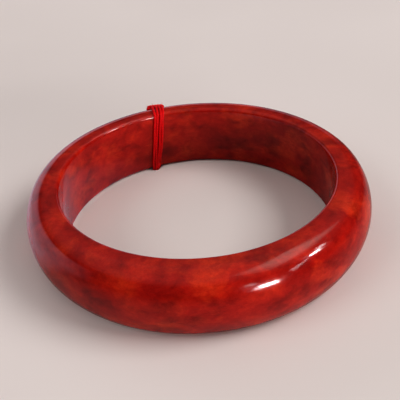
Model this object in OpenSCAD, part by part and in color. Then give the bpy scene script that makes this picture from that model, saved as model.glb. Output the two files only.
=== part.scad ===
// Bangle bracelet: a solid D-section stone ring with a short thread tied round its section.
// Millimetres. Origin at the centre of the ring, +Z along its axis. The thread is tied at +Y.

/* [Stone ring] */
// Inside diameter, the size that the hand passes through
inner_d = 58; // [52:0.5:64]
// Height along the axis
ring_h = 14.6; // [14:0.2:17]
// Wall thickness at mid height
ring_t = 7.6; // [7:0.2:9]
// Radius of the domed outside face
dome_r = 10; // [9.5:0.1:11]
// Radius of the rounded outer shoulders
shoulder_r = 4.2; // [4:0.1:5]
// Rounding of the two inner edges
inner_edge_r = 0.8; // [0.5:0.1:1.2]

/* [Thread] */
// Diameter of one strand
strand_d = 0.6; // [0.4:0.05:0.65]
// Angle round the ring from one turn to the next
turn_step = 1.27; // [1.25:0.01:1.6]
// Extra angle between the two pairs of turns
pair_gap = 0.3; // [0:0.05:0.6]
// Lean of the turns, their tops towards +X
lean = 7.5; // [0:0.5:10]
// Slant of the turns across the rim, their outside towards +X
slant = 12; // [0:1:14]
// Play between thread and stone
thread_play = 0.06; // [0.04:0.01:0.12]

/* [Knot] */
// Slope of the shoulder under the upper wrap of the knot, above the horizontal
upper_wrap_slope = 44; // [44:1:50]
// Angle from the upper wrap down to the lower one
wrap_step = 9; // [9:0.5:11]
// Radius to which a wrap bends down beside the turns
wrap_bend_r = 0.6; // [0.5:0.05:0.7]
// Length of each cut end
end_l = 2.2; // [1:0.1:4]
// Angle by which each cut end droops
end_droop = 28; // [10:1:45]

/* [Hidden] */
$fn = 64;

inner_r = inner_d / 2;
half_h = ring_h / 2;

// The section is drawn with x outwards from the inside wall and y along the axis.
dome_x = ring_t - dome_r;
shoulder_y = half_h - shoulder_r;
shoulder_x = dome_x + sqrt(pow(dome_r - shoulder_r, 2) - pow(shoulder_y, 2));
dome_half_angle = atan2(shoulder_y, shoulder_x - dome_x);
edge_y = half_h - inner_edge_r;

// Distances of the thread's centre lines from the stone, for the turns and for the wraps over them
turn_lift = thread_play + strand_d / 2;
wrap_play = 0.03;
wrap_lift = turn_lift + strand_d + wrap_play;

// Facets round a turn of thread
strand_sides = 10;

// Half width of the four turns where the knot crosses them, and the room a wrap needs beside them
knot_r = inner_r + shoulder_x + shoulder_r * cos(upper_wrap_slope);
turns_half_w = knot_r * (1.5 * turn_step + pair_gap / 2) * PI / 180;
wrap_half_w = turns_half_w + strand_d + wrap_play - wrap_bend_r;
wrap_end_x = wrap_half_w + wrap_bend_r;

// Angle round the ring of turn n, 1 to 4, from the middle of the thread
function turn_angle(n) = (n - 2.5) * turn_step + sign(n - 2.5) * pair_gap / 2;

// How far a turn lies towards +X of its section's plane, at a point of that plane
function beside(x, y) = x * tan(slant) + y * tan(lean);

// The ring's cross-section: flat inside wall, rounded inner edges, shoulders and dome
module section() {
    translate([0, -edge_y])
        square([shoulder_x + inner_edge_r, 2 * edge_y]);
    translate([inner_edge_r, -half_h])
        square([shoulder_x - inner_edge_r, ring_h]);
    for (side = [-1, 1])
        translate([inner_edge_r, side * edge_y])
            circle(inner_edge_r);
    intersection() {
        union() {
            dome_sector();
            for (side = [-1, 1])
                translate([shoulder_x, side * shoulder_y])
                    circle(shoulder_r);
        }
        translate([inner_edge_r, -half_h])
            square([ring_t, ring_h]);
    }
}

// The part of the dome's circle between its two joins with the shoulders
module dome_sector() {
    reach = 2 * dome_r;
    translate([dome_x, 0])
        intersection() {
            circle(dome_r);
            polygon([
                [0, 0],
                [reach, -reach * tan(dome_half_angle)],
                [reach, reach * tan(dome_half_angle)]
            ]);
        }
}

module stone_ring() {
    color([0.55, 0.07, 0.05])
        rotate_extrude()
            translate([inner_r, 0])
                section();
}

// A curved length of strand: radius and angles are those of its centre line
module bent_strand(centre, radius, from, sweep) {
    translate([centre[0], centre[1], 0])
        rotate([0, 0, from])
            rotate_extrude(angle = sweep)
                translate([radius, 0])
                    circle(strand_d / 2);
}

// A straight length of strand, from the point given and in the direction given
module straight_strand(start, direction, length) {
    translate([start[0], start[1], 0])
        rotate([0, 0, direction])
            rotate([0, 90, 0])
                cylinder(h = length, d = strand_d);
}

// Stations along an arc, each [x, y, angle of the outward normal]; first is 1 to leave out the start
function arc_stations(centre, radius, from, to, count, first) = [
    for (i = [first:count])
        let (angle = from + (to - from) * i / count)
            [centre[0] + radius * cos(angle), centre[1] + radius * sin(angle), angle]
];

// The stations of one turn: up the dome, over the shoulder and both inner edges, and back underneath
turn_stations = concat(
    arc_stations([dome_x, 0], dome_r + turn_lift, -dome_half_angle, dome_half_angle, 12, 1),
    arc_stations([shoulder_x, shoulder_y], shoulder_r + turn_lift, dome_half_angle, 90, 8, 1),
    arc_stations([inner_edge_r, edge_y], inner_edge_r + turn_lift, 90, 180, 6, 0),
    arc_stations([inner_edge_r, -edge_y], inner_edge_r + turn_lift, 180, 270, 6, 0),
    arc_stations([shoulder_x, -shoulder_y], shoulder_r + turn_lift, 270, 360 - dome_half_angle, 8, 0)
);

// A closed loop of round strand through the stations, shifted beside the section's plane by its lean and slant
module looped_strand(stations) {
    count = len(stations);
    points = [
        for (s = stations)
            for (j = [0:strand_sides - 1])
                let (
                    turn = 360 * j / strand_sides,
                    out = strand_d / 2 * cos(turn),
                    x = s[0] + out * cos(s[2]),
                    y = s[1] + out * sin(s[2])
                )
                    [x, y, strand_d / 2 * sin(turn) + beside(x, y)]
    ];
    faces = [
        for (i = [0:count - 1])
            for (j = [0:strand_sides - 1])
                let (
                    here = i * strand_sides,
                    next = (i + 1) % count * strand_sides,
                    k = (j + 1) % strand_sides
                )
                    each [[here + j, next + j, next + k], [here + j, next + k, here + k]]
    ];
    polyhedron(points, faces);
}

// Stands the section's plane upright at +Y, turned by the angle given
module at_thread(angle) {
    rotate([0, 0, 90 + angle])
        translate([inner_r, 0, 0])
            rotate([90, 0, 0])
                children();
}

module thread_turn(n) {
    color([0.78, 0.05, 0.05])
        at_thread(turn_angle(n))
            looped_strand(turn_stations);
}

// Puts x along the ring, y off the stone and z along the turns, where they cross the slope given
module on_shoulder(slope) {
    crossing_y = shoulder_y + (shoulder_r + turn_lift) * sin(slope);
    crossing_r = inner_r + shoulder_x + (shoulder_r + turn_lift) * cos(slope);
    rotate([0, 0, 90 - atan(beside(crossing_r - inner_r, crossing_y) / crossing_r)])
        translate([inner_r + shoulder_x, 0, shoulder_y])
            rotate([90, 0, 0])
                rotate([0, 0, slope])
                    translate([shoulder_r, 0, 0])
                        rotate([0, -90, -90])
                            rotate([0, atan(tan(lean) * cos(slope) - tan(slant) * sin(slope)), 0])
                                children();
}

// A strand that crosses over the four turns and bends down to the stone on both sides
module knot_wrap(slope) {
    bend_y = wrap_lift - wrap_bend_r;
    color([0.7, 0.04, 0.04])
        on_shoulder(slope) {
            straight_strand([-wrap_half_w, wrap_lift], 0, 2 * wrap_half_w);
            for (side = [0, 1])
                mirror([side, 0, 0]) {
                    bent_strand([wrap_half_w, bend_y], wrap_bend_r, 0, 90);
                    straight_strand([wrap_end_x, thread_play], 90, bend_y - thread_play);
                }
        }
}

// A cut end that lies on the stone beside the knot; mirrored is 1 for the one towards -X
module thread_end(mirrored, slope) {
    start_x = wrap_end_x + strand_d / 2 + wrap_play;
    color([0.72, 0.04, 0.04])
        on_shoulder(slope)
            mirror([mirrored, 0, 0])
                translate([start_x, turn_lift, 0])
                    rotate([0, end_droop, 0])
                        straight_strand([strand_d / 2 * sin(end_droop), 0], 0, end_l);
}

stone_ring();
thread_turn(1);  // thread_turn_1
thread_turn(2);  // thread_turn_2
thread_turn(3);  // thread_turn_3
thread_turn(4);  // thread_turn_4
knot_wrap(upper_wrap_slope);  // knot_wrap_upper
knot_wrap(upper_wrap_slope - wrap_step);  // knot_wrap_lower
thread_end(1, upper_wrap_slope);  // thread_end_left
thread_end(0, upper_wrap_slope - wrap_step);  // thread_end_right
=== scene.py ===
"""Looks for the stone bangle with a red thread tied round its section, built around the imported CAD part."""

import math
import random

import bpy
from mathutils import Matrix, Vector, noise


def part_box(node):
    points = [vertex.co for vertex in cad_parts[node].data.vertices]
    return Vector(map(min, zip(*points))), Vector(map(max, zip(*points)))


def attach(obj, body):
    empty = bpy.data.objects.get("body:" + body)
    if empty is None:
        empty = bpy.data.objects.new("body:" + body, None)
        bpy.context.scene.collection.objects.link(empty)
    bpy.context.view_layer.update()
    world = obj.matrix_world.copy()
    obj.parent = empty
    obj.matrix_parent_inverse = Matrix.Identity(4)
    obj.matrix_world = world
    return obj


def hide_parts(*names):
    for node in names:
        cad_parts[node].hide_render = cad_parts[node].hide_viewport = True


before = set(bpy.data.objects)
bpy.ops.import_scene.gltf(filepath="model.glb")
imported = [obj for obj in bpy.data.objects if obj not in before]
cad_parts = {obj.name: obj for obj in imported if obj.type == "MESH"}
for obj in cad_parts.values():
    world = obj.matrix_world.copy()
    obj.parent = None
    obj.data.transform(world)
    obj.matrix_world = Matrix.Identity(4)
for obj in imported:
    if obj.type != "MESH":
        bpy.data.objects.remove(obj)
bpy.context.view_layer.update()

MM = 0.001

# The ring's section, in millimetres. Its radii are those of part.scad, and its size is the CAD node's.
ring_low, ring_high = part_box("stone_ring")
OUTER_R = ring_high.x / MM
HALF_H = ring_high.z / MM
RING_T = 7.6
DOME_R = 10.0
SHOULDER_R = 4.2
INNER_EDGE_R = 0.8
INNER_R = OUTER_R - RING_T
DOME_X = RING_T - DOME_R
SHOULDER_Y = HALF_H - SHOULDER_R
SHOULDER_X = DOME_X + math.sqrt((DOME_R - SHOULDER_R) ** 2 - SHOULDER_Y**2)
DOME_HALF_ANGLE = math.atan2(SHOULDER_Y, SHOULDER_X - DOME_X)
EDGE_Y = HALF_H - INNER_EDGE_R

# The thread, in millimetres: its lay is the length of one twist, and its skin is the air under it
STRAND_D = 0.62
PLIES = 3
PLY_SIDES = 8
LAY = 2.1
STEP = 0.11
THREAD_LEAN = math.tan(math.radians(7.5))
THREAD_SLANT = math.tan(math.radians(12))
SKIN = 0.035

# Lengths along the section's outline from the middle of the inside wall, upwards
EDGE_S = EDGE_Y
TOP_S = EDGE_S + INNER_EDGE_R * math.pi / 2
SHOULDER_S = TOP_S + SHOULDER_X - INNER_EDGE_R
DOME_S = SHOULDER_S + SHOULDER_R * (math.pi / 2 - DOME_HALF_ANGLE)
HALF_S = DOME_S + DOME_R * DOME_HALF_ANGLE
OUTLINE = 2 * HALF_S


def outline(s):
    """The outline at length s: x outwards from the inside wall, y along the axis, and the outward normal."""
    s = (s + HALF_S) % OUTLINE - HALF_S
    side = 1 if s >= 0 else -1
    t = abs(s)
    if t < EDGE_S:
        x, y, a = 0.0, t, math.pi
    elif t < TOP_S:
        a = math.pi - (t - EDGE_S) / INNER_EDGE_R
        x = INNER_EDGE_R * (1 + math.cos(a))
        y = EDGE_Y + INNER_EDGE_R * math.sin(a)
    elif t < SHOULDER_S:
        x, y, a = INNER_EDGE_R + t - TOP_S, HALF_H, math.pi / 2
    elif t < DOME_S:
        a = math.pi / 2 - (t - SHOULDER_S) / SHOULDER_R
        x = SHOULDER_X + SHOULDER_R * math.cos(a)
        y = SHOULDER_Y + SHOULDER_R * math.sin(a)
    else:
        a = DOME_HALF_ANGLE - (t - DOME_S) / DOME_R
        x = DOME_X + DOME_R * math.cos(a)
        y = DOME_R * math.sin(a)
    return x, side * y, math.cos(a), side * math.sin(a)


def at_thread(s, w, lift):
    """The point beside the thread's middle line: s along the outline, w towards +X, lift off the stone."""
    x, y, nx, ny = outline(s)
    radius = INNER_R + x + nx * lift
    height = y + ny * lift
    angle = math.pi / 2 - (w + THREAD_LEAN * height + THREAD_SLANT * x) / radius
    return Vector((radius * math.cos(angle), radius * math.sin(angle), height))


def off_stone(s, w):
    """The stone's outward normal at the same place."""
    x, y, nx, ny = outline(s)
    angle = math.pi / 2 - (w + THREAD_LEAN * y + THREAD_SLANT * x) / (INNER_R + x)
    return Vector((nx * math.cos(angle), nx * math.sin(angle), ny))


def new_mesh(name, points, faces, uvs=None):
    """A smooth-shaded mesh object from points in millimetres; uvs has one pair for each point."""
    mesh = bpy.data.meshes.new(name)
    mesh.from_pydata([p * MM for p in points], [], faces)
    if uvs:
        layer = mesh.uv_layers.new(name="fibre")
        for loop in mesh.loops:
            layer.data[loop.index].uv = uvs[loop.vertex_index]
    mesh.polygons.foreach_set("use_smooth", [True] * len(faces))
    mesh.update()
    obj = bpy.data.objects.new(name, mesh)
    bpy.context.scene.collection.objects.link(obj)
    return obj


# ---------------------------------------------------------------- ring


def build_ring():
    """The stone, turned on a lathe from its section, with the faint unevenness of hand polish."""
    across = 720
    stations = []
    for start, end, count in (
        (-EDGE_S, EDGE_S, 28),
        (EDGE_S, TOP_S, 10),
        (TOP_S, SHOULDER_S, 5),
        (SHOULDER_S, DOME_S, 18),
        (DOME_S, OUTLINE - DOME_S, 44),
        (OUTLINE - DOME_S, OUTLINE - SHOULDER_S, 18),
        (OUTLINE - SHOULDER_S, OUTLINE - TOP_S, 5),
        (OUTLINE - TOP_S, OUTLINE - EDGE_S, 10),
    ):
        stations += [start + (end - start) * i / count for i in range(count)]
    points = []
    for i in range(across):
        angle = 2 * math.pi * i / across
        for s in stations:
            x, y, nx, ny = outline(s)
            p = Vector(((INNER_R + x) * math.cos(angle), (INNER_R + x) * math.sin(angle), y))
            n = Vector((nx * math.cos(angle), nx * math.sin(angle), ny))
            uneven = 0.012 * noise.noise(p / 6.0) + 0.005 * noise.noise(p / 2.2)
            points.append(p + n * uneven)
    rows = len(stations)
    faces = []
    for i in range(across):
        for j in range(rows):
            a = i * rows + j
            b = (i + 1) % across * rows + j
            c = (i + 1) % across * rows + (j + 1) % rows
            d = i * rows + (j + 1) % rows
            faces.append((a, d, c, b))
    return new_mesh("bangle_ring", points, faces)


# ---------------------------------------------------------------- thread


def tube(points, uvs, faces, path, radii, sides, closed):
    """Adds a round tube along path to the lists; the frame is carried along without twist."""
    start = len(points)
    count = len(path)
    normal = None
    length = 0.0
    for i in range(count):
        if closed:
            ahead = path[(i + 1) % count] - path[i - 1]
        else:
            ahead = path[min(i + 1, count - 1)] - path[max(i - 1, 0)]
        ahead.normalize()
        if normal is None:
            normal = ahead.orthogonal().normalized()
        normal = (normal - ahead * normal.dot(ahead)).normalized()
        side = ahead.cross(normal)
        if i:
            length += (path[i] - path[i - 1]).length
        for j in range(sides):
            turn = 2 * math.pi * j / sides
            points.append(path[i] + (normal * math.cos(turn) + side * math.sin(turn)) * radii[i])
            uvs.append((j / sides, length))
    for i in range(count if closed else count - 1):
        k = (i + 1) % count
        shift = 0
        if closed and k == 0:
            shift = nearest_shift(points, start, count, sides)
        for j in range(sides):
            m = (j + 1) % sides
            faces.append(
                (
                    start + i * sides + j,
                    start + i * sides + m,
                    start + k * sides + (m + shift) % sides,
                    start + k * sides + (j + shift) % sides,
                )
            )
    if not closed:
        faces.append(tuple(start + j for j in reversed(range(sides))))
        faces.append(tuple(start + (count - 1) * sides + j for j in range(sides)))


def nearest_shift(points, start, count, sides):
    """How far the first ring of a closed tube is turned from its last, in facets."""
    last = points[start + (count - 1) * sides]
    gaps = [(points[start + j] - last).length for j in range(sides)]
    return gaps.index(min(gaps))


def plied_strand(stations, closed, phase, fray=0.0):
    """A strand of twisted plies along stations, each (centre, off-stone direction, width factor)."""
    ply_r = STRAND_D / 2 / (1 + 2 / math.sqrt(3))
    offset = STRAND_D / 2 - ply_r
    count = len(stations)
    centres = [c for c, n, k in stations]
    lengths = [0.0]
    for i in range(1, count):
        lengths.append(lengths[-1] + (centres[i] - centres[i - 1]).length)
    total = lengths[-1]
    if closed:
        total += (centres[0] - centres[-1]).length
        turns = round(total / LAY)
    else:
        turns = total / LAY
    points, uvs, faces = [], [], []
    for ply in range(PLIES):
        path, radii = [], []
        for i, (centre, away, widen) in enumerate(stations):
            if closed:
                ahead = centres[(i + 1) % count] - centres[i - 1]
            else:
                ahead = centres[min(i + 1, count - 1)] - centres[max(i - 1, 0)]
            ahead.normalize()
            up = (away - ahead * away.dot(ahead)).normalized()
            across = ahead.cross(up)
            angle = phase + 2 * math.pi * (turns * lengths[i] / total + ply / PLIES)
            loose = 1.0
            if fray and total - lengths[i] < fray:
                loose += 1.1 * (1 - (total - lengths[i]) / fray) ** 1.6
            path.append(
                centre
                + up * (offset * loose * math.sin(angle))
                + across * (offset * loose * widen * math.cos(angle))
            )
            taper = 1.0
            if not closed:
                taper = min(1.0, 0.55 + 0.45 * (total - lengths[i]) / 0.25)
            radii.append(ply_r * 1.02 * taper)
        tube(points, uvs, faces, path, radii, PLY_SIDES, closed)
    return points, uvs, faces


def ease(t):
    """The smooth step from 0 to 1."""
    return t * t * (3 - 2 * t)


def between(keys, s):
    """The smooth value at s of keys, each (s, value), repeating after one outline."""
    s = (s - keys[0][0]) % OUTLINE + keys[0][0]
    wrapped = [*keys, (keys[0][0] + OUTLINE, keys[0][1])]
    for (s0, v0), (s1, v1) in zip(wrapped, wrapped[1:]):
        if s0 <= s <= s1:
            return v0 + (v1 - v0) * ease((s - s0) / (s1 - s0))
    return keys[0][1]


# Where the upper wrap of the knot crosses the turns, at a slope of 44 degrees on the shoulder
WRAP_S = SHOULDER_S + SHOULDER_R * math.radians(90 - 44)

# Where the turns lie at these lengths along the outline, in millimetres towards +X of the thread's middle
PLACE_S = (-8.2, -6.2, 0.0, 6.0, 8.6, WRAP_S, 19.0)
PLACES = {
    "thread_turn_1": (0.12, 0.66, 1.02, 1.04, 1.16, 1.0, 0.98),
    "thread_turn_2": (-0.16, 0.16, 0.42, 0.46, 0.50, 0.36, 0.36),
    "thread_turn_3": (-0.44, -0.38, -0.36, -0.34, -0.34, -0.34, -0.34),
    "thread_turn_4": (-0.76, -0.98, -0.98, -1.02, -1.18, -1.02, -0.98),
}

# How far each turn stands off the stone beyond its skin, as (length along the outline, millimetres)
LIFTS = {
    "thread_turn_1": ((-7.8, 0.36), (-5.4, 0.0), (8.0, 0.0), (19.0, 0.0), (27.0, 0.0)),
    "thread_turn_2": ((-7.8, 0.88), (-5.4, 0.03), (8.0, 0.04), (19.0, 0.0), (27.0, 0.03)),
    "thread_turn_3": ((-7.8, 0.84), (-5.4, 0.02), (8.0, 0.0), (19.0, 0.0), (27.0, 0.03)),
    "thread_turn_4": ((-7.8, 0.32), (-5.4, 0.0), (8.0, 0.02), (19.0, 0.0), (27.0, 0.0)),
}

# How much each strand spreads sideways, as (length along the outline, factor)
WIDTHS = ((-7.8, 0.98), (0.0, 0.98), (5.5, 1.05), (8.5, 1.18), (WRAP_S, 1.0), (22.0, 1.0))


def build_turn(name, number):
    """One turn of the thread, once round the section."""
    count = round((OUTLINE + math.pi * STRAND_D) / STEP)
    places = tuple(zip(PLACE_S, PLACES[name]))
    stations = []
    for i in range(count):
        s = -HALF_S + OUTLINE * i / count
        sway = 0.03 * math.sin(2 * math.pi * (2 * i / count) + 1.7 * number)
        sway += 0.02 * math.sin(2 * math.pi * (5 * i / count) + 2.9 * number)
        w = between(places, s) + sway
        lift = SKIN + STRAND_D / 2 + between(LIFTS[name], s)
        stations.append((at_thread(s, w, lift), off_stone(s, w), between(WIDTHS, s)))
    points, uvs, faces = plied_strand(stations, True, 0.9 * number)
    return new_mesh("thread_loop_%d" % number, points, faces, uvs)


def open_route(keys):
    """Evenly spaced stations on a smooth line through keys, each (s, w, lift, width factor)."""
    fine = []
    for i in range(len(keys) - 1):
        k0 = keys[max(i - 1, 0)]
        k1, k2 = keys[i], keys[i + 1]
        k3 = keys[min(i + 2, len(keys) - 1)]
        for j in range(24):
            t = j / 24
            fine.append(
                tuple(
                    0.5
                    * (
                        2 * b
                        + (c - a) * t
                        + (2 * a - 5 * b + 4 * c - d) * t * t
                        + (3 * b - 3 * c + d - a) * t**3
                    )
                    for a, b, c, d in zip(k0, k1, k2, k3)
                )
            )
    fine.append(tuple(keys[-1]))
    stations = []
    travelled = 0.0
    last = None
    for s, w, lift, widen in fine:
        p = at_thread(s, w, lift)
        if last is not None:
            travelled += (p - last).length
        if last is None or travelled >= STEP * 0.8:
            stations.append((p, off_stone(s, w), widen))
            travelled = 0.0
        last = p
    return stations


def fibres(points, uvs, faces, root, out, count, reach, rng):
    """Fine loose fibres that stand out from the thread near root, leaning towards out."""
    for _ in range(count):
        way = (out + Vector([rng.uniform(-0.9, 0.9) for _ in range(3)])).normalized()
        bend = Vector([rng.uniform(-0.6, 0.6) for _ in range(3)])
        start = root + Vector([rng.uniform(-0.16, 0.16) for _ in range(3)])
        length = reach * rng.uniform(0.5, 1.0)
        path = [start + way * (length * k / 7) + bend * (length * (k / 7) ** 2 * 0.5) for k in range(8)]
        tube(points, uvs, faces, path, [0.016 - 0.0012 * k for k in range(8)], 5, False)


# Lifts of a strand on the stone and of one over the turns, and the lower wrap's place on the outline
LAYER = SKIN + STRAND_D / 2
OVER = LAYER + STRAND_D
LOWER_S = WRAP_S + 0.74


def build_wrap(name, number, s0, slant, rng):
    """A wrap of the knot: over the four turns, and down to the stone on both sides."""
    keys = [
        (s0 + 0.10 - slant, 1.30, LAYER, 1.0),
        (s0 - slant, 1.72, LAYER - 0.02, 1.0),
        (s0 - slant, 1.94, LAYER + 0.26, 1.0),
        (s0 - slant * 0.8, 1.70, OVER - 0.06, 1.0),
        (s0 - slant * 0.5, 1.1, OVER + 0.01, 1.05),
        (s0, 0.0, OVER + 0.02, 1.08),
        (s0 + slant * 0.5, -1.1, OVER + 0.01, 1.05),
        (s0 + slant * 0.8, -1.84, OVER - 0.04, 1.0),
        (s0 + slant, -2.16, LAYER + 0.28, 1.0),
        (s0 + slant, -1.98, LAYER - 0.02, 1.0),
        (s0 + slant + 0.10, -1.45, LAYER, 1.0),
    ]
    points, uvs, faces = plied_strand(open_route(keys), False, 0.4 + number)
    for w in (-2.0, -0.7, 0.6, 1.8):
        root = at_thread(s0, w, OVER + 0.25)
        fibres(points, uvs, faces, root, off_stone(s0, w), 3, 0.5, rng)
    return new_mesh(name + "_strand", points, faces, uvs)


def build_end(name, number, s0, side, rng):
    """A cut end that comes out beside the knot, lies down the stone and frays at its tip."""
    keys = [
        (s0, side * 1.75, LAYER + 0.05, 1.0),
        (s0 + 0.20, side * 2.05, LAYER + 0.05, 1.0),
        (s0 + 0.65, side * 2.45, LAYER, 1.0),
        (s0 + 1.25, side * 2.85, LAYER + 0.02, 1.0),
        (s0 + 1.90, side * 3.20, LAYER + 0.06, 1.0),
        (s0 + 2.50, side * 3.50, LAYER + 0.14, 1.0),
    ]
    points, uvs, faces = plied_strand(open_route(keys), False, 2.0 * number, 0.9)
    s, w, lift = keys[-1][:3]
    tip = at_thread(s, w, lift)
    way = (tip - at_thread(*keys[-2][:3])).normalized()
    fibres(points, uvs, faces, tip - way * 0.15, way * 1.5, 16, 0.7, rng)
    return new_mesh(name + "_strand", points, faces, uvs)


# ---------------------------------------------------------------- materials


def node(tree, kind, place, **settings):
    """A new node; settings are its properties, and inputs are given as in_<name> with spaces as _."""
    made = tree.nodes.new(kind)
    made.location = place
    for key, value in settings.items():
        if key.startswith("in_"):
            made.inputs[key[3:].replace("_", " ")].default_value = value
        else:
            setattr(made, key, value)
    return made


def ramp(tree, place, stops, source):
    """A colour ramp through stops, each (position, colour), fed by source."""
    made = tree.nodes.new("ShaderNodeValToRGB")
    made.location = place
    elements = made.color_ramp.elements
    while len(elements) < len(stops):
        elements.new(0.5)
    for element, (position, colour) in zip(elements, stops):
        element.position = position
        element.color = (*colour, 1.0) if len(colour) == 3 else colour
    tree.links.new(source, made.inputs["Fac"])
    return made


def blend(tree, place, kind, factor, a, b):
    """A colour mix; factor, a and b are sockets or values."""
    made = tree.nodes.new("ShaderNodeMix")
    made.location = place
    made.data_type = "RGBA"
    made.blend_type = kind
    for socket, value in ((made.inputs[0], factor), (made.inputs[6], a), (made.inputs[7], b)):
        if isinstance(value, bpy.types.NodeSocket):
            tree.links.new(value, socket)
        else:
            socket.default_value = value
    return made.outputs[2]


def new_material(name):
    """A node material, with its tree and its shader."""
    material = bpy.data.materials.new(name)
    material.use_nodes = True
    return material, material.node_tree, material.node_tree.nodes["Principled BSDF"]


def noise_at(tree, place, vector, **settings):
    """A noise texture on the given coordinates."""
    made = node(tree, "ShaderNodeTexNoise", place, **settings)
    tree.links.new(vector, made.inputs["Vector"])
    return made.outputs["Fac"]


def stone_material():
    """Polished red stone: maroon and orange clouds in crimson, fine mottling and broken hairline veins."""
    material, tree, shader = new_material("polished_red_stone")
    link = tree.links.new
    coord = node(tree, "ShaderNodeTexCoord", (-2000, 0))
    flat = node(tree, "ShaderNodeMapping", (-1800, 0), in_Scale=(1 / MM, 1 / MM, 1.6 / MM))
    link(coord.outputs["Object"], flat.inputs["Vector"])
    place = flat.outputs["Vector"]
    stir = node(tree, "ShaderNodeTexNoise", (-1600, -200), in_Scale=0.12, in_Detail=2.0)
    link(place, stir.inputs["Vector"])
    pull = node(tree, "ShaderNodeVectorMath", (-1400, -200), operation="SCALE")
    pull.inputs["Scale"].default_value = 4.0
    link(stir.outputs["Color"], pull.inputs[0])
    moved = node(tree, "ShaderNodeVectorMath", (-1200, 0), operation="ADD")
    link(place, moved.inputs[0])
    link(pull.outputs["Vector"], moved.inputs[1])
    stirred = moved.outputs["Vector"]

    clouds = noise_at(tree, (-900, 600), stirred, in_Scale=0.14, in_Detail=4.0, in_Roughness=0.5)
    colour = ramp(
        tree,
        (-600, 600),
        (
            (0.34, (0.290, 0.0066, 0.0046)),
            (0.50, (0.375, 0.0100, 0.0058)),
            (0.64, (0.470, 0.0180, 0.0074)),
        ),
        clouds,
    ).outputs["Color"]
    shift = node(tree, "ShaderNodeVectorMath", (-1000, 300), operation="ADD")
    shift.inputs[1].default_value = (31.0, 17.0, 53.0)
    link(stirred, shift.inputs[0])
    shifted = shift.outputs["Vector"]
    warm = noise_at(tree, (-900, 300), shifted, in_Scale=0.12, in_Detail=5.0, in_Roughness=0.55)
    warm = ramp(tree, (-600, 300), ((0.52, (0, 0, 0)), (0.68, (1, 1, 1))), warm).outputs["Color"]
    colour = blend(tree, (-300, 500), "MIX", warm, colour, (0.530, 0.0290, 0.0090, 1.0))
    dark = noise_at(tree, (-900, 0), shifted, in_Scale=0.19, in_Detail=4.0, in_Roughness=0.52)
    dark = ramp(tree, (-600, 0), ((0.30, (0.55, 0.47, 0.52)), (0.52, (1, 1, 1))), dark).outputs["Color"]
    colour = blend(tree, (-100, 500), "MULTIPLY", 0.9, colour, dark)
    mottle = noise_at(tree, (-900, -300), stirred, in_Scale=0.75, in_Detail=6.0, in_Roughness=0.62)
    spots = ramp(tree, (-600, -300), ((0.32, (0.70, 0.62, 0.66)), (0.66, (1.16, 1.34, 1.20))), mottle)
    colour = blend(tree, (100, 500), "MULTIPLY", 0.62, colour, spots.outputs["Color"])
    grain = noise_at(tree, (-900, -600), place, in_Scale=3.0, in_Detail=3.0, in_Roughness=0.6)
    fine = ramp(tree, (-600, -600), ((0.30, (0.84, 0.80, 0.82)), (0.70, (1.12, 1.20, 1.14))), grain)
    colour = blend(tree, (300, 500), "MULTIPLY", 0.7, colour, fine.outputs["Color"])
    vein = noise_at(tree, (-900, -900), stirred, in_Scale=0.42, in_Detail=5.0, in_Roughness=0.6)
    line = ramp(
        tree, (-600, -900), ((0.487, (0, 0, 0)), (0.50, (0.5, 0.5, 0.5)), (0.513, (0, 0, 0))), vein
    ).outputs["Color"]
    line = blend(tree, (-300, -900), "MULTIPLY", 1.0, line, warm)
    veined = blend(tree, (500, 500), "MIX", line, colour, (0.56, 0.050, 0.020, 1.0))
    link(veined, shader.inputs["Base Color"])

    gloss = node(tree, "ShaderNodeMapRange", (300, 0))
    gloss.inputs["To Min"].default_value = 0.08
    gloss.inputs["To Max"].default_value = 0.15
    link(mottle, gloss.inputs["Value"])
    link(gloss.outputs["Result"], shader.inputs["Roughness"])
    bump = node(tree, "ShaderNodeBump", (300, -300), in_Strength=0.03, in_Distance=0.0002)
    link(mottle, bump.inputs["Height"])
    link(bump.outputs["Normal"], shader.inputs["Normal"])
    shader.inputs["IOR"].default_value = 1.45
    shader.inputs["Subsurface Weight"].default_value = 0.12
    shader.inputs["Subsurface Radius"].default_value = (1.0, 0.12, 0.08)
    shader.inputs["Subsurface Scale"].default_value = 0.0012
    return material


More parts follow.
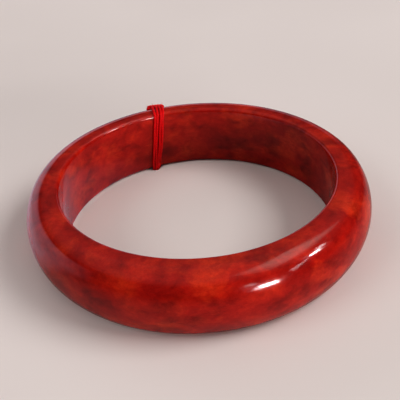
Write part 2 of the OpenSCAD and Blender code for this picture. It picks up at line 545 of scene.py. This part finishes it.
def thread_material():
    """Vivid red twisted thread: fine filaments along each ply, darker in the grooves between them as painted
    shade, matt, with a little sheen.
    """
    material, tree, shader = new_material("red_thread")
    link = tree.links.new
    lie = node(tree, "ShaderNodeUVMap", (-1200, 0), uv_map="fibre")
    turn = node(tree, "ShaderNodeMapping", (-1000, 0), in_Scale=(1.0, 0.35, 1.0))
    link(lie.outputs["UV"], turn.inputs["Vector"])
    strands = node(
        tree,
        "ShaderNodeTexWave",
        (-800, 0),
        bands_direction="DIAGONAL",
        in_Scale=4.0,
        in_Distortion=1.2,
        in_Detail=2.0,
    )
    link(turn.outputs["Vector"], strands.inputs["Vector"])
    coord = node(tree, "ShaderNodeTexCoord", (-1200, -400))
    dye = node(tree, "ShaderNodeTexNoise", (-800, -400), in_Scale=1500.0, in_Detail=4.0)
    link(coord.outputs["Object"], dye.inputs["Vector"])
    # Filament stripes, with the colour darker where the bump height is low: painted shade in the grooves
    # between filaments
    shade = ramp(
        tree,
        (-500, 0),
        ((0.0, (0.56, 0.0012, 0.0030)), (1.0, (0.90, 0.0040, 0.0070))),
        strands.outputs["Fac"],
    )
    patch = ramp(tree, (-500, -400), ((0.3, (0.86, 0.8, 0.82)), (0.7, (1.1, 1.2, 1.15))), dye.outputs["Fac"])
    link(
        blend(tree, (-200, 0), "MULTIPLY", 0.9, shade.outputs["Color"], patch.outputs["Color"]),
        shader.inputs["Base Color"],
    )
    bump = node(tree, "ShaderNodeBump", (-200, -300), in_Strength=0.35, in_Distance=0.00003)
    link(strands.outputs["Fac"], bump.inputs["Height"])
    link(bump.outputs["Normal"], shader.inputs["Normal"])
    shader.inputs["Roughness"].default_value = 0.55
    shader.inputs["Specular IOR Level"].default_value = 0.25
    shader.inputs["Sheen Weight"].default_value = 0.08
    shader.inputs["Sheen Roughness"].default_value = 0.4
    shader.inputs["Sheen Tint"].default_value = (1.0, 0.10, 0.08, 1.0)
    return material


def floor_material():
    """Plain pale matt surface as the camera sees it. Every other ray sees painted light in its colour:
    painted shade that makes what the ring mirrors of it dim, darker further from the ring, and a painted pale
    lavender reflection at the back left.
    """
    material, tree, shader = new_material("pale_floor")
    link = tree.links.new
    coord = node(tree, "ShaderNodeTexCoord", (-1200, 0))
    tone = noise_at(tree, (-900, 300), coord.outputs["Object"], in_Scale=9.0, in_Detail=2.0)
    shade = ramp(tree, (-600, 300), ((0.35, (0.765, 0.71, 0.69)), (0.65, (0.795, 0.74, 0.72))), tone)
    away = node(tree, "ShaderNodeVectorMath", (-900, 0), operation="LENGTH")
    link(coord.outputs["Object"], away.inputs[0])
    # Painted shade for every ray but the camera's: the floor's colour dims with distance from the ring, so
    # its reflection in the ring and its bounce light are dark
    dim = ramp(
        tree,
        (-600, 0),
        (
            (0.026, (0.36, 0.31, 0.30)),
            (0.038, (0.46, 0.40, 0.39)),
            (0.090, (0.20, 0.175, 0.17)),
            (0.300, (0.03, 0.027, 0.026)),
        ),
        away.outputs["Value"],
    )
    # Painted reflection: a pale lavender patch towards the back left, seen only in the ring's reflections and
    # in bounce light
    aim = node(tree, "ShaderNodeVectorMath", (-900, -300), operation="NORMALIZE")
    link(coord.outputs["Object"], aim.inputs[0])
    side = node(tree, "ShaderNodeVectorMath", (-700, -300), operation="DOT_PRODUCT")
    link(aim.outputs["Vector"], side.inputs[0])
    side.inputs[1].default_value = direction(-132, 0)
    patch = ramp(tree, (-500, -300), ((0.66, (0, 0, 0)), (0.86, (1, 1, 1))), side.outputs["Value"])
    painted_reflection_and_bounce = blend(
        tree, (-300, 0), "MIX", patch.outputs["Color"], dim.outputs["Color"], (0.96, 0.80, 0.96, 1.0)
    )
    # The camera sees the plain floor; all other rays see the painted shade and the painted reflection
    path = node(tree, "ShaderNodeLightPath", (-500, 600))
    colour = blend(tree, (-100, 100), "MIX", path.outputs["Is Camera Ray"], painted_reflection_and_bounce, shade.outputs["Color"])
    link(colour, shader.inputs["Base Color"])
    shader.inputs["Roughness"].default_value = 0.9
    shader.inputs["Specular IOR Level"].default_value = 0.0
    return material


# ---------------------------------------------------------------- floor


def build_floor():
    """A wide level floor under the ring, pressed in softly where the thread goes under."""
    press_depth = 1.7
    sag_depth = 0.28
    radii = [0.0, 20.0, 26.0]
    radii += [27.0 + 0.5 * i for i in range(24)]
    radii += [42.0, 50.0, 65.0, 90.0, 130.0, 200.0, 320.0, 520.0, 900.0, 1500.0]
    angles = [math.radians(20 * i) for i in range(18) if abs(20 * i - 90) > 12]
    angles += [math.radians(90 + 0.75 * i) for i in range(-16, 17)]
    angles.sort()
    points = [Vector((0, 0, -HALF_H))]
    for r in radii[1:]:
        for a in angles:
            across = (a - math.pi / 2) * r
            along = r - (INNER_R + 1.5)
            press = math.exp(-((across - 1.0) ** 2) / 2.2 - max(0.0, abs(along - 1.0) - 1.2) ** 2 / 1.2)
            sag = sag_depth * ease(min(1.0, max(0.0, (INNER_R + 1.4 - r) / 1.2)))
            points.append(Vector((r * math.cos(a), r * math.sin(a), -HALF_H - max(sag, press_depth * press))))
    n = len(angles)
    faces = [(0, 1 + j, 1 + (j + 1) % n) for j in range(n)]
    for i in range(len(radii) - 2):
        for j in range(n):
            a = 1 + i * n + j
            b = 1 + i * n + (j + 1) % n
            faces.append((a, a + n, b + n, b))
    return new_mesh("floor", points, faces)


# ---------------------------------------------------------------- lights and camera


def direction(azimuth, elevation):
    """The direction seen at an azimuth from -Y towards +X and an elevation, in degrees."""
    a, e = math.radians(azimuth), math.radians(elevation)
    return Vector((math.sin(a) * math.cos(e), -math.cos(a) * math.cos(e), math.sin(e)))


def panel(name, azimuth, elevation, width, height, radiance, colour=(1, 1, 1), distance=0.9, roll=0.0):
    """A rectangular lamp that faces the ring; width and height are degrees as the ring sees them."""
    data = bpy.data.lights.new(name, "AREA")
    data.shape = "RECTANGLE"
    data.size = 2 * distance * math.tan(math.radians(width / 2))
    data.size_y = 2 * distance * math.tan(math.radians(height / 2))
    data.energy = 4 * radiance * data.size * data.size_y
    data.color = colour
    lamp = bpy.data.objects.new(name, data)
    bpy.context.scene.collection.objects.link(lamp)
    way = direction(azimuth, elevation)
    lamp.location = way * distance
    lamp.rotation_euler = way.to_track_quat("Z", "Y").to_euler()
    lamp.rotation_euler.rotate_axis("Z", math.radians(roll))
    lamp.visible_camera = False
    return lamp


def build_lights():
    """Soft lamps that the ring doesn't mirror, and the small windows that it does."""
    for name, azimuth, elevation, width, height, radiance in (
        ("key", 62, 44, 34, 24, 4.7),
        ("front", 20, 7, 40, 12, 10.5),
        ("side", -85, 42, 30, 20, 1.8),
        ("back", -165, 25, 40, 24, 0.8),
    ):
        lamp = panel(name, azimuth, elevation, width, height, radiance, (1.0, 0.97, 0.95), distance=3.0)
        lamp.visible_glossy = False
    day = (0.95, 0.97, 1.0)
    windows = [
        panel("window_low", 18, 3.5, 11, 4.2, 80, day),
        panel("window_low_strip_a", 10.5, 2.4, 1.6, 3.4, 30, day),
        panel("window_low_strip_b", 8.0, 12.5, 6.0, 0.8, 18, day),
        panel("window_slats", 54, 22.5, 6.5, 5.5, 60, day),
    ]
    for i in range(3):
        name = "window_high_%d" % i
        windows.append(panel(name, 72 - 4 * i, 60 - i, 34 + 12 * i, 16 + 5 * i, 0.55, (1.0, 0.93, 0.85)))
    for i in range(5):
        name = "window_slat_%d" % i
        windows.append(panel(name, 60 + 0.9 * i, 25.5 + 1.6 * i, 9 - i, 0.7, 20, day, roll=-4))
    for i in range(3):
        windows.append(panel("window_corner_%d" % i, 44 - 4 * i, 16.5 - 2.2 * i, 2.2, 1.5, 22, day))
    for window in windows:
        window.visible_diffuse = False


def build_world():
    """A dim room with a pale band low at the back left."""
    world = bpy.data.worlds.new("room")
    bpy.context.scene.world = world
    world.use_nodes = True
    tree = world.node_tree
    link = tree.links.new
    back = tree.nodes["Background"]
    coord = node(tree, "ShaderNodeTexCoord", (-1400, 0))
    split = node(tree, "ShaderNodeSeparateXYZ", (-1200, 0))
    link(coord.outputs["Generated"], split.inputs["Vector"])
    side = node(tree, "ShaderNodeVectorMath", (-1200, -300), operation="DOT_PRODUCT")
    link(coord.outputs["Generated"], side.inputs[0])
    side.inputs[1].default_value = direction(-155, 0)
    height = ramp(
        tree,
        (-900, 0),
        ((0.28, (1.0, 1.0, 1.0)), (0.36, (0.0, 0.0, 0.0))),
        split.outputs["Z"],
    )
    near = ramp(tree, (-900, -300), ((0.35, (0.0, 0.0, 0.0)), (0.75, (1.0, 1.0, 1.0))), side.outputs["Value"])
    band = blend(tree, (-600, -100), "MULTIPLY", 1.0, height.outputs["Color"], near.outputs["Color"])
    room = ramp(
        tree,
        (-600, 300),
        ((0.0, (0.030, 0.027, 0.026)), (0.40, (0.040, 0.036, 0.034)), (0.80, (0.34, 0.32, 0.31))),
        split.outputs["Z"],
    )
    seen = blend(tree, (-300, 0), "MIX", band, room.outputs["Color"], (0.78, 0.62, 0.76, 1.0))
    path = node(tree, "ShaderNodeLightPath", (-600, -400))
    colour = blend(tree, (-100, 0), "MIX", path.outputs["Is Camera Ray"], seen, (0.52, 0.48, 0.46, 1.0))
    link(colour, back.inputs["Color"])
    back.inputs["Strength"].default_value = 1.0


def build_camera():
    """The photographer's view: from the front left, 34 degrees up, with the picture slightly turned."""
    data = bpy.data.cameras.new("camera")
    data.sensor_width = 36.0
    data.lens = 61.94
    data.shift_x = 0.0048
    data.shift_y = -0.0012
    data.clip_start = 0.005
    camera = bpy.data.objects.new("camera", data)
    bpy.context.scene.collection.objects.link(camera)
    way = direction(-18.0, 33.64)
    camera.location = way * 0.1493
    camera.rotation_euler = way.to_track_quat("Z", "Y").to_euler()
    camera.rotation_euler.rotate_axis("Z", math.radians(-4.39))
    bpy.context.scene.camera = camera


# ---------------------------------------------------------------- assembly


def main():
    rng = random.Random(11)
    stone = stone_material()
    thread = thread_material()

    ring = build_ring()
    ring.data.materials.append(stone)
    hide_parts("stone_ring")
    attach(ring, "ring")

    pieces = {"thread_turn_%d" % n: build_turn("thread_turn_%d" % n, n) for n in range(1, 5)}
    pieces["knot_wrap_upper"] = build_wrap("knot_wrap_upper", 1, WRAP_S, -0.40, rng)
    pieces["knot_wrap_lower"] = build_wrap("knot_wrap_lower", 2, LOWER_S, -0.34, rng)
    pieces["thread_end_left"] = build_end("thread_end_left", 1, WRAP_S + 0.35, -1, rng)
    pieces["thread_end_right"] = build_end("thread_end_right", 2, LOWER_S, 1, rng)
    for name, piece in pieces.items():
        piece.data.materials.append(thread)
        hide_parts(name)
        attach(piece, "thread")

    floor = build_floor()
    floor.data.materials.append(floor_material())

    build_lights()
    build_world()
    build_camera()
    bpy.context.scene.view_settings.view_transform = "Standard"
    bpy.context.scene.view_settings.look = "Medium High Contrast"


main()
